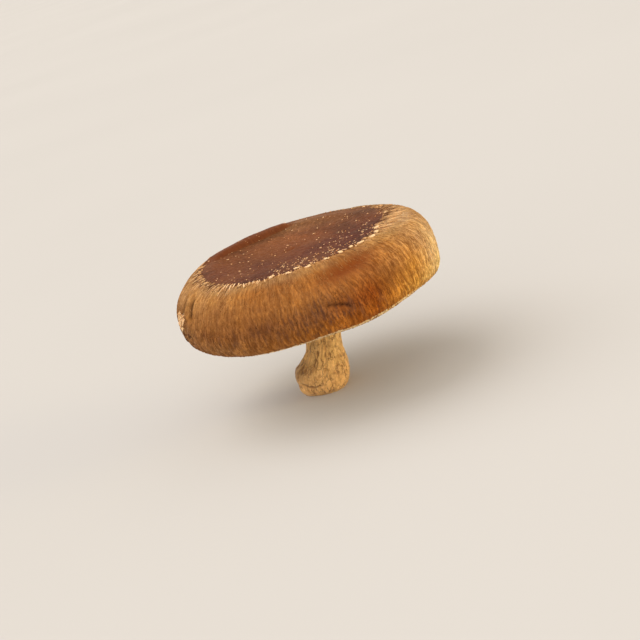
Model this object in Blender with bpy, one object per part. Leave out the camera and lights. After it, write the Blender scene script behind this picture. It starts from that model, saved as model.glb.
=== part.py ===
"""Fresh shiitake mushroom, standing upright on the cut foot of its stem.

Metres, +Z up.  The origin is the centre of the flat cut foot.  The cap's axis
runs parallel to +Z and lies CAP_X to the +X side of the foot, because the stem
leans that way on its way up.  +Y is the side away from the scarred front.

Three solids, as the fruit body comes apart in the kitchen:
  cap    the flesh and skin, with an inrolled margin and a shallow hollow below
  gills  the ring of radial lamellae that fills the hollow under the cap
  stem   the fibrous stalk, widened at the base and cut flat
"""

import bpy
import bmesh
from math import atan2, cos, exp, pi, radians, sin, sqrt

# ---------------------------------------------------------------- dimensions
CAP_X = 0.0057            # cap axis, measured from the foot's centre

RIM_R = 0.0534            # widest radius of the cap
RIM_Z = 0.0456            # height of the widest ring
LOWER_R = 0.0483          # radius where the side turns under into the margin
LOWER_Z = 0.0353          # height of that turn
DISC_R = 0.0398           # radius of the nearly flat top
DISC_Z = 0.0612           # height of the edge of the flat top
DISH = 0.0016             # how far the middle of the top sinks
LIP = 0.0009              # raised lip just inside the edge, at the far left
SHOULDER_N = 2.30         # superellipse exponent of the shoulder
SHOULDER_SWING = 0.45     # squarer to the right, softer to the left

MARGIN_W = 0.0047         # thickness of the inrolled margin
HOLLOW_EDGE_Z = 0.0434    # ceiling of the hollow at the margin
HOLLOW_MID_Z = 0.0470     # ceiling of the hollow over the stem
SEAT_R = 0.0100           # flat patch of the ceiling over the stem

GAP = 0.0003              # clearance between touching pieces

LAMELLAE = 72
GILL_HOLE_R = 0.0088      # the stem's apex stands in this hole
GILL_EDGE_Z = 0.0388      # lower edge of the lamellae at the margin
GILL_RISE = 0.0034        # how much higher that edge is at the stem
GILL_ROOT = 0.0012        # thickness of flesh above the valleys

NECK_R = 0.0072
APEX_R = 0.0085
BASE_SWELL = 0.0031
BASE_Z = 0.0060
FOOT_ROUND = 0.0032       # height over which the foot's edge rounds off
FOOT_TUCK = 0.12          # share of the radius lost by that rounding
LOBE = 0.0020             # knob on the left of the base

CAP_STEPS = 96
STEM_STEPS = 40


# ------------------------------------------------------------------- helpers
def smooth(t):
    t = min(1.0, max(0.0, t))
    return t * t * (3.0 - 2.0 * t)


def hump(theta, at_deg, width):
    """A soft bump around the axis, 1 at at_deg."""
    return exp((cos(theta - radians(at_deg)) - 1.0) / width ** 2)


def material(name, colour, roughness, metallic=0.0):
    mat = bpy.data.materials.new(name)
    mat.use_nodes = True
    bsdf = mat.node_tree.nodes["Principled BSDF"]
    bsdf.inputs["Base Color"].default_value = (*colour, 1.0)
    bsdf.inputs["Roughness"].default_value = roughness
    bsdf.inputs["Metallic"].default_value = metallic
    return mat


# ----------------------------------------------------------------- the cap
def cap_rim(theta):
    """The rings that steer the cap's section at one bearing."""
    rim_r = RIM_R * (1 + 0.006 * cos(2 * theta - 0.5)
                     + 0.004 * cos(3 * theta + 1.2) + 0.003 * cos(5 * theta + 0.4))
    rim_z = RIM_Z + 0.0006 * cos(2 * theta + 0.8)
    low_r = (LOWER_R * (1 + 0.008 * cos(3 * theta + 0.9) + 0.006 * cos(4 * theta + 2.1))
             + 0.0012 * hump(theta, -30, 0.40))
    low_z = (LOWER_Z + 0.00035 * cos(3 * theta + 0.5) + 0.0003 * cos(5 * theta + 1.9)
             + 0.0002 * cos(8 * theta + 0.7)
             + 0.0012 * hump(theta, -35, 0.35) - 0.0008 * hump(theta, 5, 0.30))
    disc_r = DISC_R + 0.0005 * cos(2 * theta + 0.3)
    disc_z = DISC_Z + 0.0003 * cos(2 * theta + 2.2)
    power = SHOULDER_N + SHOULDER_SWING * cos(theta - 0.1)
    return rim_r, rim_z, low_r, low_z, disc_r, disc_z, power


def hollow_r(theta):
    """Inner wall of the margin."""
    return cap_rim(theta)[2] - MARGIN_W


def ceiling_z(r, wall_r):
    """Ceiling of the hollow, flat over the stem and falling to the margin."""
    t = max(0.0, (r - SEAT_R) / (wall_r - SEAT_R))
    return HOLLOW_MID_Z - (HOLLOW_MID_Z - HOLLOW_EDGE_Z) * t ** 1.6


def dish_z(theta, f):
    """Height of the top against the disc's edge, f = radius / disc radius."""
    lip = LIP * exp(-((f - 0.86) / 0.10) ** 2) * (0.5 + 0.5 * cos(theta - radians(125)))
    return -DISH * (1 - f * f) ** 1.5 + lip + 0.00025 * (1 - f)


def cap_section(theta):
    """(radius, height) from the top's centre, over the rim, to the ceiling."""
    rim_r, rim_z, low_r, low_z, disc_r, disc_z, power = cap_rim(theta)
    rows = []
    for f in (0.0, 0.24, 0.46, 0.64, 0.79, 0.90):
        rows.append((disc_r * f, disc_z + dish_z(theta, f)))
    for i in range(9):                                   # shoulder
        a = pi / 2 * (1 - i / 8)
        rows.append((disc_r + (rim_r - disc_r) * max(0.0, cos(a)) ** (2 / power),
                     rim_z + (disc_z - rim_z) * sin(a) ** (2 / power)))
    for i in range(1, 6):                                # side, down to the turn
        t = i / 5
        rows.append((low_r + (rim_r - low_r) * sqrt(1 - t ** 2.2),
                     rim_z + (low_z - rim_z) * t))
    for dr, dz in ((0.0013, -0.0007), (0.0029, -0.0005), (0.0042, 0.0009),
                   (MARGIN_W, 0.0030)):                  # rolled margin
        rows.append((low_r - dr, low_z + dz))
    wall = low_r - MARGIN_W
    for f in (1.0, 0.76, 0.50):
        rows.append((wall * f, ceiling_z(wall * f, wall)))
    rows.append((SEAT_R, HOLLOW_MID_Z))
    rows.append((0.0, HOLLOW_MID_Z))
    return rows


# ---------------------------------------------------------------- the gills
def gill_section(theta, crest):
    """Section of the gill ring: crest is True on the edge of a lamella."""
    wall = hollow_r(theta) - GAP
    cap_wall = hollow_r(theta)
    rows = []
    for i in range(4):                                   # back, against the flesh
        r = wall + (GILL_HOLE_R - wall) * i / 3
        rows.append((r, ceiling_z(r, cap_wall) - GAP))
    for i in range(6):                                   # lower edges, outwards
        r = GILL_HOLE_R + (wall - GILL_HOLE_R) * i / 5
        inward = (wall - r) / (wall - GILL_HOLE_R)
        edge = GILL_EDGE_Z + GILL_RISE * inward ** 1.3
        root = ceiling_z(r, cap_wall) - GAP - GILL_ROOT
        rows.append((r, edge if crest else root))
    return rows


# ----------------------------------------------------------------- the stem
STEM_HEIGHTS = (0.0, 0.0009, 0.0019, FOOT_ROUND, 0.0052, 0.0072, 0.0090, 0.0106,
                0.0120, 0.0134, 0.0150, 0.0170, 0.0195, 0.0225, 0.0260, 0.0300,
                0.0340, 0.0380, 0.0415, HOLLOW_MID_Z - GAP)


def stem_point(theta, z):
    lean = CAP_X * smooth((z - 0.002) / 0.024)
    r = (NECK_R + (APEX_R - NECK_R) * smooth((z - 0.028) / 0.011)
         + BASE_SWELL * exp(-abs((z - BASE_Z) / 0.0080) ** 2.8))
    knobbly = 1 - smooth((z - 0.030) / 0.009)            # the apex is round
    r *= 1 + knobbly * (0.03 * cos(2 * theta + 1.0) + 0.02 * cos(3 * theta + 2.0))
    r += LOBE * hump(theta, 185, 0.75) * exp(-((z - 0.0106) / 0.0038) ** 2)
    r += 0.0006 * hump(theta, 10, 0.60) * exp(-((z - 0.0080) / 0.0050) ** 2)
    r *= 1 - FOOT_TUCK * max(0.0, 1 - z / FOOT_ROUND) ** 1.8
    return lean + r * cos(theta), r * sin(theta)


# ------------------------------------------------------------------ turning
def turned(name, rows, steps, place, mat, closed):
    """Spin a section of that many rows about Z, then place each point."""
    bm = bmesh.new()
    row_of = bm.verts.layers.int.new("row")
    chain = []
    for i in range(rows):
        # spaced out on a plain half circle so that the spin has no doubles
        a = pi * (i / (rows - 1)) if not closed else 2 * pi * i / rows
        if closed:
            v = bm.verts.new((2.0 + cos(a), 0.0, sin(a)))
        else:
            v = bm.verts.new((sin(a) if 0 < i < rows - 1 else 0.0, 0.0, cos(a)))
        v[row_of] = i
        chain.append(v)
    edges = [bm.edges.new((a, b)) for a, b in zip(chain, chain[1:])]
    if closed:
        edges.append(bm.edges.new((chain[-1], chain[0])))
    bmesh.ops.spin(bm, geom=chain + edges, cent=(0, 0, 0), axis=(0, 0, 1),
                   dvec=(0, 0, 0), angle=2 * pi, steps=steps, use_merge=True,
                   use_duplicate=False)
    bmesh.ops.remove_doubles(bm, verts=bm.verts, dist=1e-5)
    bm.verts.ensure_lookup_table()
    for v in bm.verts:
        theta = atan2(v.co.y, v.co.x)
        step = round(theta / (2 * pi) * steps) % steps
        v.co = place(v[row_of], 2 * pi * step / steps, step)
    bmesh.ops.recalc_face_normals(bm, faces=bm.faces)
    if bm.calc_volume(signed=True) < 0:
        bmesh.ops.reverse_faces(bm, faces=bm.faces)
    mesh = bpy.data.meshes.new(name)
    bm.to_mesh(mesh)
    bm.free()
    mesh.materials.append(mat)
    mesh.shade_smooth()
    mesh.set_sharp_from_angle(angle=radians(50))
    obj = bpy.data.objects.new(name, mesh)
    bpy.context.scene.collection.objects.link(obj)
    return obj


def build():
    for obj in list(bpy.data.objects):
        bpy.data.objects.remove(obj, do_unlink=True)

    root = bpy.data.objects.new("shiitake", None)
    bpy.context.scene.collection.objects.link(root)

    cap_rows = len(cap_section(0.0))
    cap = turned("cap", cap_rows, CAP_STEPS,
                 lambda row, th, k: (lambda p: (p[0] * cos(th), p[0] * sin(th), p[1]))(
                     cap_section(th)[row]),
                 material("cap_skin", (0.215, 0.095, 0.034), 0.58), closed=False)
    cap.location.x = CAP_X

    gill_rows = len(gill_section(0.0, True))
    gills = turned("gills", gill_rows, 2 * LAMELLAE,
                   lambda row, th, k: (lambda p: (p[0] * cos(th), p[0] * sin(th), p[1]))(
                       gill_section(th, k % 2 == 0)[row]),
                   material("gill_flesh", (0.78, 0.64, 0.42), 0.62), closed=True)
    gills.location.x = CAP_X

    # two pole rows close the stem: the cut foot's middle and the top's middle
    heights = (0.0,) + STEM_HEIGHTS + (STEM_HEIGHTS[-1],)

    def stem_place(row, th, k):
        z = heights[row]
        if row == 0:
            return (0.0, 0.0, 0.0)
        if row == len(heights) - 1:
            return (CAP_X, 0.0, z)
        x, y = stem_point(th, z)
        return (x, y, z)

    stem = turned("stem", len(heights), STEM_STEPS, stem_place,
                  material("stem_skin", (0.48, 0.26, 0.075), 0.66), closed=False)

    for obj in (cap, gills, stem):
        obj.parent = root


build()
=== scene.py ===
from math import pi, radians, degrees, sin, cos, tan, atan2

import bpy
import numpy as np
from mathutils import Matrix, Vector


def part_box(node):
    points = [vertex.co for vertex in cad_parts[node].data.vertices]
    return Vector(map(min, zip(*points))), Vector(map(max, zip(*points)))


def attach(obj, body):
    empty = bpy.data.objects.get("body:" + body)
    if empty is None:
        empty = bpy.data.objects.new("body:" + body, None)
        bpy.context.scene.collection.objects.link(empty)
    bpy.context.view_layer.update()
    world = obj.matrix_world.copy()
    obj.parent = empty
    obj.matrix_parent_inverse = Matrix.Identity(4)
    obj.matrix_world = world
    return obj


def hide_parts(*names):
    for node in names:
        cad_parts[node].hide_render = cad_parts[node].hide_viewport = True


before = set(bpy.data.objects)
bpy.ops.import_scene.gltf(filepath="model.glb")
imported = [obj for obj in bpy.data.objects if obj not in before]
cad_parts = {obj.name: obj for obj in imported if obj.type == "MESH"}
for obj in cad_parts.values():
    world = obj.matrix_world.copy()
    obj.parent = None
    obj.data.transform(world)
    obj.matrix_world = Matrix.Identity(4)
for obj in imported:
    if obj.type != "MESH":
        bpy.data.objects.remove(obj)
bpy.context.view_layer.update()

# =====================================================================
# A fresh shiitake, built in millimetres around the cap's axis and then
# put in the CAD frame.  Bearings are in degrees, 0 = +X, -90 = the front.
# =====================================================================
MM = 0.001
lo_cap, hi_cap = (np.array(v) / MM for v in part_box("cap"))
lo_gill, hi_gill = (np.array(v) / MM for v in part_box("gills"))
lo_stem, hi_stem = (np.array(v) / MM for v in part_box("stem"))

# the section that the CAD cap follows, in mm above the foot
RIM_R, RIM_Z = 53.4, 45.6
LOWER_R, LOWER_Z = 48.3, 35.3
DISC_R, DISC_Z = 39.8, 61.2
DISH, LIP = 1.6, 0.9
SHOULDER_N, SHOULDER_SWING = 2.30, 0.45
MARGIN_W = 4.7
HOLLOW_EDGE_Z, HOLLOW_MID_Z, SEAT_R = 43.4, 47.0, 10.0
GILL_HOLE_R, GILL_EDGE_Z, GILL_RISE = 8.8, 38.8, 3.4


# ------------------------------------------------------------- numbers
def smooth(x, lo=0.0, hi=1.0):
    t = np.clip((np.asarray(x, float) - lo) / (hi - lo), 0, 1)
    return t * t * (3 - 2 * t)


def hump(th, at_deg, width):
    return np.exp((np.cos(th - radians(at_deg)) - 1) / width ** 2)


def gauss(x, width):
    return np.exp(-(np.asarray(x, float) / width) ** 2)


def turn(th, at_deg):
    """Signed angle from a bearing, in radians, -pi to pi."""
    return (th - radians(at_deg) + pi) % (2 * pi) - pi


def _hash(i, j, seed):
    n = (i * 374761393 + j * 668265263 + seed * 974711) & 0xFFFFFFFF
    n = ((n ^ (n >> 13)) * 1274126177) & 0xFFFFFFFF
    n = ((n ^ (n >> 16)) * 2246822519) & 0xFFFFFFFF
    n = n ^ (n >> 15)
    return n / 0xFFFFFFFF * 2.0 - 1.0


def noise2(x, y, seed, wrap=None):
    """Value noise, -1 to 1, on unit cells.  x wraps after wrap cells."""
    x, y = np.broadcast_arrays(np.asarray(x, float), np.asarray(y, float))
    i, j = np.floor(x).astype(np.int64), np.floor(y).astype(np.int64)
    u, v = x - i, y - j
    u, v = u * u * u * (u * (u * 6 - 15) + 10), v * v * v * (v * (v * 6 - 15) + 10)
    i0, i1 = (i % wrap, (i + 1) % wrap) if wrap else (i, i + 1)
    a, b = _hash(i0, j, seed), _hash(i1, j, seed)
    c, d = _hash(i0, j + 1, seed), _hash(i1, j + 1, seed)
    return (a * (1 - u) + b * u) * (1 - v) + (c * (1 - u) + d * u) * v


def fbm2(x, y, seed, octaves=3, wrap=None, gain=0.5):
    out, amp, total = 0.0, 1.0, 0.0
    for k in range(octaves):
        out = out + amp * noise2(x * 2 ** k, y * 2 ** k, seed + 17 * k,
                                 wrap * 2 ** k if wrap else None)
        total += amp
        amp *= gain
    return out / total


def around(th, cells, s, length, seed, octaves=1, gain=0.5):
    """Noise wrapped round the axis: cells round, length mm along."""
    return fbm2(th / (2 * pi) * cells, np.asarray(s) / length, seed, octaves, cells, gain)


def srgb(r, g, b):
    c = np.array([r, g, b], float) / 255
    return np.where(c <= 0.04045, c / 12.92, ((c + 0.055) / 1.055) ** 2.4)


# ------------------------------------------------------- the cap's skin
def rim(th):
    rim_r = RIM_R * (1 + 0.006 * np.cos(2 * th - 0.5) + 0.004 * np.cos(3 * th + 1.2)
                     + 0.003 * np.cos(5 * th + 0.4))
    rim_z = RIM_Z + 0.6 * np.cos(2 * th + 0.8)
    low_r = (LOWER_R * (1 + 0.008 * np.cos(3 * th + 0.9) + 0.006 * np.cos(4 * th + 2.1))
             + 1.2 * hump(th, -30, 0.40))
    low_z = (LOWER_Z + 0.35 * np.cos(3 * th + 0.5) + 0.3 * np.cos(5 * th + 1.9)
             + 0.2 * np.cos(8 * th + 0.7) + 1.2 * hump(th, -35, 0.35) - 0.8 * hump(th, 5, 0.30))
    disc_r = DISC_R + 0.5 * np.cos(2 * th + 0.3)
    disc_z = DISC_Z + 0.3 * np.cos(2 * th + 2.2)
    return rim_r, rim_z, low_r, low_z, disc_r, disc_z, SHOULDER_N + SHOULDER_SWING * np.cos(th - 0.1)


# the cap's axis sits where the lobed rim's box has its middle
_t = np.linspace(0, 2 * pi, 720, endpoint=False)
_rr = rim(_t)[0]
AX = (lo_cap[0] + hi_cap[0]) / 2 - ((_rr * np.cos(_t)).max() + (_rr * np.cos(_t)).min()) / 2
AY = (lo_cap[1] + hi_cap[1]) / 2 - ((_rr * np.sin(_t)).max() + (_rr * np.sin(_t)).min()) / 2

MARGIN = np.array([(0, 0), (-1.25, -0.72), (-2.75, -0.62), (-4.0, 0.45), (-4.62, 2.2),
                   (-4.7, 4.2)], float)


def spline(points, u):
    n = len(points)
    i = np.clip(np.floor(u).astype(int), 0, n - 2)
    t = (u - i)[..., None]
    a, b = points[np.clip(i - 1, 0, n - 1)], points[i]
    c, d = points[i + 1], points[np.clip(i + 2, 0, n - 1)]
    return 0.5 * (2 * b + (c - a) * t + (2 * a - 5 * b + 4 * c - d) * t * t
                  + (3 * b - a - 3 * c + d) * t ** 3)


def ceiling(r, wall):
    t = np.clip((r - SEAT_R) / (wall - SEAT_R), 0, 1.2)
    return HOLLOW_MID_Z - (HOLLOW_MID_Z - HOLLOW_EDGE_Z) * t ** 1.6


def section(th, kind, p):
    """kind: 0 disc, 1 shoulder, 2 side, 3 rolled margin, 4 inner wall, 5 ceiling."""
    rim_r, rim_z, low_r, low_z, disc_r, disc_z, n = rim(th)
    lip = LIP * np.exp(-((p - 0.86) / 0.10) ** 2) * (0.5 + 0.5 * np.cos(th - radians(125)))
    r0 = disc_r * p
    z0 = disc_z - DISH * np.clip(1 - p * p, 0, 1) ** 1.5 + lip + 0.25 * (1 - p)
    a = pi / 2 * (1 - p)
    lip_end = LIP * np.exp(-1.96) * (0.5 + 0.5 * np.cos(th - radians(125)))
    r1 = disc_r + (rim_r - disc_r) * np.clip(np.cos(a), 0, 1) ** (2 / n)
    z1 = (rim_z + (disc_z - rim_z) * np.clip(np.sin(a), 0, 1) ** (2 / n)
          + lip_end * (1 - smooth(p, 0, 0.5)))
    t = np.clip(p, 0, 1)
    r2 = low_r + (rim_r - low_r) * np.sqrt(1 - t ** 2.2)
    z2 = rim_z + (low_z - rim_z) * t
    m = spline(MARGIN, np.clip(p, 0, 5))
    r3, z3 = low_r + m[..., 0], low_z + m[..., 1]
    wall = low_r - MARGIN_W
    r4, z4 = wall + 0 * p, (low_z + 4.2) * (1 - p) + HOLLOW_EDGE_Z * p
    r5 = wall * (1 - p)
    z5 = ceiling(r5, wall)
    pick = [kind == k for k in range(5)]
    return np.select(pick, [r0, r1, r2, r3, r4], r5), np.select(pick, [z0, z1, z2, z3, z4], z5)


def _table():
    ks, ps, rs, zs = [], [], [], []
    for k, hi, m in ((0, 1, 400), (1, 1, 900), (2, 1, 900), (3, 5, 400), (4, 1, 60), (5, 1, 200)):
        q = np.linspace(0, 1, m)
        p = 1 - (1 - q) ** 1.6 if k == 2 else q * hi
        th = np.linspace(0, 2 * pi, 16, endpoint=False)[:, None]
        r, z = section(th, np.full((16, m), k), np.broadcast_to(p, (16, m)))
        ks += [k] * m
        ps += list(p)
        rs += list(r.mean(0))
        zs += list(z.mean(0))
    rs, zs = np.array(rs), np.array(zs)
    s = np.concatenate([[0], np.cumsum(np.hypot(np.diff(rs), np.diff(zs)))])
    return np.array(ks), np.array(ps), s


_ks, _ps, _ss = _table()
S_END = [float(_ss[_ks == k][-1]) for k in range(6)]     # 39.9 63.4 75.8 84.3 88.1 ...
S_DISC, S_RIM, S_LOW, S_ROLL, S_WALL, S_MID = S_END


def cap_surface(th, s):
    """A point of the plain skin: s mm along the section from the middle of the top."""
    th, s = np.broadcast_arrays(np.asarray(th, float), np.asarray(s, float))
    kind = np.searchsorted(np.array(S_END[:5]), s)
    p = np.zeros(s.shape)
    for k in range(6):
        m = _ks == k
        p = np.where(kind == k, np.interp(s, _ss[m], _ps[m]), p)
    r, z = section(th, kind, p)
    return np.stack([r * np.cos(th), r * np.sin(th), z], -1)


def surface_frame(surf, th, s):
    """Point, outward normal, direction down the meridian, direction round."""
    p = surf(th, s)
    ds = surf(th, s + 0.05) - surf(th, np.maximum(s - 0.05, 0.001))
    dt = surf(th + 0.002, s) - surf(th - 0.002, s)
    n = np.cross(ds, dt)
    n /= np.linalg.norm(n, axis=-1, keepdims=True) + 1e-12
    ds = ds / (np.linalg.norm(ds, axis=-1, keepdims=True) + 1e-12)
    dt = np.cross(n, ds)
    return p, n, ds, dt


# ----- features of the skin, all in (bearing, s)
def disc_reach(th):
    """Where the dark skin ends, without its teeth."""
    return (S_DISC + 0.1 + 0.45 * around(th, 9, 0, 1, 11, 2) + 1.7 * hump(th, -124, 0.40)
            - 3.4 * hump(th, -20, 0.25) + 1.4 * hump(th, 45, 0.35) + 3.6 * hump(th, 96, 0.55))


def ragged_edge(th, s):
    """Positive inside the dark disc, in mm, with teeth along the fibres."""
    ends = hump(th, -8, 0.42) + 0.8 * hump(th, 181, 0.36) + 0.35 * hump(th, 90, 0.8)
    warp = th + 0.007 * around(th, 46, s, 3.0, 15)
    teeth = around(warp, 132, s, 16.0, 12, 2, 0.6)
    spikes = around(warp, 230, s, 14.0, 13, 1)
    return (disc_reach(th) - s + (0.95 + 1.6 * ends) * teeth
            + (0.65 + 2.0 * ends) * spikes)


def dent(th, s):
    """The smooth finger-sized dent on the front right shoulder, 0 to 1."""
    x = turn(th, -71.0) * 47.5
    y = s - (49.8 - 0.12 * x)
    return gauss(x, 14.5) ** 1.3 * gauss(y, 4.0)


def slit(th, s, at, s0, half, width, lean=0.0, wiggle=0.25, seed=5):
    """A crease along the meridian: 1 on its line."""
    x = turn(th, at) * 51.0 - lean * (s - s0) - wiggle * noise2(s / 1.5, s * 0 + at, seed)
    return gauss(x, width) * smooth(half - np.abs(s - s0), 0, half * 0.6)


def torn(th, s):
    """The torn patch at the far left, 1 where the flesh shows."""
    x = turn(th, -165.5) * 53.0 + 0.35 * (s - 58.5)
    y = (s - 58.0) * 1.15
    reach = 1.0 + 0.75 * noise2(th * 53 / 0.8, s / 2.6, 31) + 0.35 * noise2(th * 53 / 0.4, s / 1.3, 32)
    return smooth(reach - np.hypot(x / 3.6, y / 3.6), -0.10, 0.14)


def scar(th, s):
    """The dark ragged edge that runs down from the torn patch."""
    line = -171.0 + 0.85 * (s - 61) + 2.2 * noise2(s / 2.2, 0 * s, 41) + 1.0 * noise2(s / 0.8, 0 * s, 42)
    x = (th - np.radians(line) + pi) % (2 * pi) - pi
    return gauss(x * 53.0, 0.75) * smooth(s, 58.5, 60.5) * (1 - smooth(s, 72, 75))


def lean(th):
    """How far the fibres turn from straight down, in radians."""
    return -0.05 + 0.28 * hump(th, -58, 0.38)


def comb(th, s):
    """Bearing followed back up the fibres, which lean a little as they run down."""
    return th - lean(th) * (s - 50) / 52.0


def fibre_height(th, s):
    """Felted fibres down the side: about -1 in the gaps, +1 on a strand."""
    th = comb(th, s)
    warp = th + 0.012 * around(th, 34, s, 6.0, 21, 2) + 0.0065 * around(th, 120, s, 2.2, 22)
    a = around(warp, 240, s, 5.0, 23)
    b = around(warp, 500, s, 3.4, 24)
    c = around(warp + 0.3, 560, s, 2.4, 25)
    d = around(warp, 860, s, 1.8, 26)
    return np.clip(0.12 * a + 0.60 * (1 - 2.6 * np.abs(b)) + 0.42 * c + 0.36 * d - 0.05, -1, 1.2)


def crispness(th, s):
    """How clearly the strands part: most at the right, least in the dent and mid front."""
    out = 0.56 + 0.72 * hump(th, -30, 0.42) + 0.20 * hump(th, -150, 0.4)
    out = out + 0.25 * smooth(s, 58, 70) + 0.22 * around(th, 14, s, 9.0, 27, 2)
    return np.clip(out * (1 - 0.55 * dent(th, s)), 0.25, 1.8)


def lip_foot(th):
    """Where the fold at the foot of the far-left lip runs."""
    x = turn(th, 116) / 0.6
    return 30.0 + 2.7 * x * x + 0.40 * around(th, 16, 0, 1, 55)


def front_crease(th, s):
    x = turn(th, -80.5) * 52.8
    return x, s - 62.0 - 0.34 * x - 0.035 * x ** 2


def creases(th, s):
    """1 in the open creases, which are painted dark as shade."""
    x, y = front_crease(th, s)
    out = 1.9 * slit(th, s, -162.4, 51.9, 4.6, 1.60, 0.20) \
        + 1.9 * slit(th, s, -154.6, 52.0, 5.2, 1.10, 0.22, seed=6)
    return np.clip(out + 0.95 * gauss(y, 0.50) * smooth(5.6 - np.abs(x), 0, 2.4), 0, 1)


def bare(th, s):
    """1 where no fibrils lie."""
    return np.clip(0.9 * dent(th, s) + 1.6 * creases(th, s) + torn(th, s), 0, 1)


def cap_relief(p, th, s):
    """Height of the real skin over the plain section, in mm."""
    x, y = p[..., 0], p[..., 1]
    on_side = smooth(s, 40.5, 46) * (1 - smooth(s, 77, 81))
    on_disc = 1 - smooth(s, 39, 42)
    edge = ragged_edge(th, s)
    out = 0.42 * around(th, 11, s, 16.0, 51, 2) * smooth(s, 36, 48) * (1 - smooth(s, 78, 84))
    out = out + 0.16 * around(th, 34, s, 7.0, 57, 2) * on_side
    out = out + 0.16 * fbm2(x / 8.0, y / 8.0, 52, 3) * (1 - smooth(s, 36, 44))
    out = out + 0.085 * fibre_height(th, s) * crispness(th, s) * on_side
    # the disc's skin: a thin cuticle that stands a little proud and splits at its edge
    out = out + 0.16 * smooth(edge, -0.25, 0.35) * (1 - smooth(s, 47, 50))
    out = out + on_disc * (0.050 * fbm2(x / 1.1, y / 1.1, 53, 2)
                           + 0.035 * around(th, 240, s, 5.0, 54) * smooth(s, 14, 30))
    # the raised lip at the far left: a step up from the satin middle, notched at its foot
    here = smooth(0.66 - np.abs(turn(th, 122)), 0, 0.18)
    fold = lip_foot(th)
    out = out + here * (1.25 * smooth(s, fold - 0.3, fold + 2.6) * (1 - smooth(s, fold + 5.0, fold + 12.0))
                        - 0.45 * gauss(s - fold - 0.1, 0.60)
                        * (0.5 + 0.8 * smooth(around(th, 26, 0, 1, 56), 0.0, 0.5)))
    # the dent, with the skin pushed up a little below it
    x = turn(th, -69.0) * 47.5
    out = out - 1.90 * dent(th, s) + 0.75 * gauss(x, 14) * gauss(s - (56.6 - 0.14 * x), 3.0)
    # creases and the torn patch at the far left
    out = out - 2.10 * slit(th, s, -162.4, 52.2, 5.4, 1.60, 0.20)
    out = out - 2.10 * slit(th, s, -154.6, 52.4, 6.8, 1.20, 0.22, seed=6)
    out = out + 0.80 * slit(th, s, -158.6, 52.6, 6.0, 1.5, 0.24, seed=7)
    flap = torn(th, s)
    out = out - 0.75 * flap + 0.55 * flap * noise2(th * 53 / 0.55, s / 2.2, 33)
    out = out - 0.60 * scar(th, s)
    # the low corner at the right stands out a little, the skin above the roll is tucked in
    out = out + 0.8 * hump(th, -20, 0.16) * gauss(s - 70.0, 4.0) - 0.6 * hump(th, -40, 0.20) * gauss(s - 74.5, 4.5)
    # a short crease across the fibres at the front
    x2, y2 = front_crease(th, s)
    out = out - 0.95 * gauss(y2, 0.75) * smooth(5.6 - np.abs(x2), 0, 2.4) \
        + 0.45 * gauss(y2 + 1.8, 1.3) * smooth(6.4 - np.abs(x2), 0, 3.2)
    # the cottony roll of the margin
    roll = smooth(s, 77.5, 80.5) * (1 - smooth(s, 86.5, 88))
    out = out + roll * (0.22 * around(th, 190, s, 2.6, 61, 2) + 0.12 * around(th, 420, s, 1.4, 62))
    return out


def cream_edge(th, s):
    """Positive on the pale margin, in mm: where the skin ends at the turn."""
    ends = (75.9 + 0.5 * around(th, 8, 0, 1, 71, 2) - 2.6 * hump(th, -86, 0.44)
            - 2.7 * hump(th, -48, 0.38) + 0.3 * around(th, 60, 0, 1, 72))
    return s - ends + 0.35 * around(th, 260, s, 2.5, 73, 2)


# ------------------------------------------------------------- meshes
def add_mesh(name, co_mm, quads, tris, attrs=None, offset=None, material=None):
    """A mesh object from millimetre points and index arrays."""
    co = np.asarray(co_mm, float)
    if offset is not None:
        co = co + np.asarray(offset, float)
    me = bpy.data.meshes.new(name)
    quads = np.zeros((0, 4), int) if quads is None else np.asarray(quads)
    tris = np.zeros((0, 3), int) if tris is None else np.asarray(tris)
    loops = np.concatenate([quads.ravel(), tris.ravel()]).astype(np.int32)
    starts = np.concatenate([np.arange(len(quads)) * 4,
                             len(quads) * 4 + np.arange(len(tris)) * 3]).astype(np.int32)
    me.vertices.add(len(co))
    me.vertices.foreach_set("co", (co * MM).astype(np.float32).ravel())
    me.loops.add(len(loops))
    me.loops.foreach_set("vertex_index", loops)
    me.polygons.add(len(starts))
    me.polygons.foreach_set("loop_start", starts)
    me.update(calc_edges=True)
    me.shade_smooth()
    for key, data in (attrs or {}).items():
        data = np.asarray(data, np.float32)
        if data.ndim == 1:
            a = me.attributes.new(key, "FLOAT", "POINT")
            a.data.foreach_set("value", data)
        elif key.startswith("col"):
            a = me.attributes.new(key, "FLOAT_COLOR", "POINT")
            rgba = np.ones((len(data), 4), np.float32)
            rgba[:, :3] = data
            a.data.foreach_set("color", rgba.ravel())
        else:
            a = me.attributes.new(key, "FLOAT_VECTOR", "POINT")
            a.data.foreach_set("vector", data.ravel())
    if material is not None:
        me.materials.append(material)
    ob = bpy.data.objects.new(name, me)
    bpy.context.scene.collection.objects.link(ob)
    return ob


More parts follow.
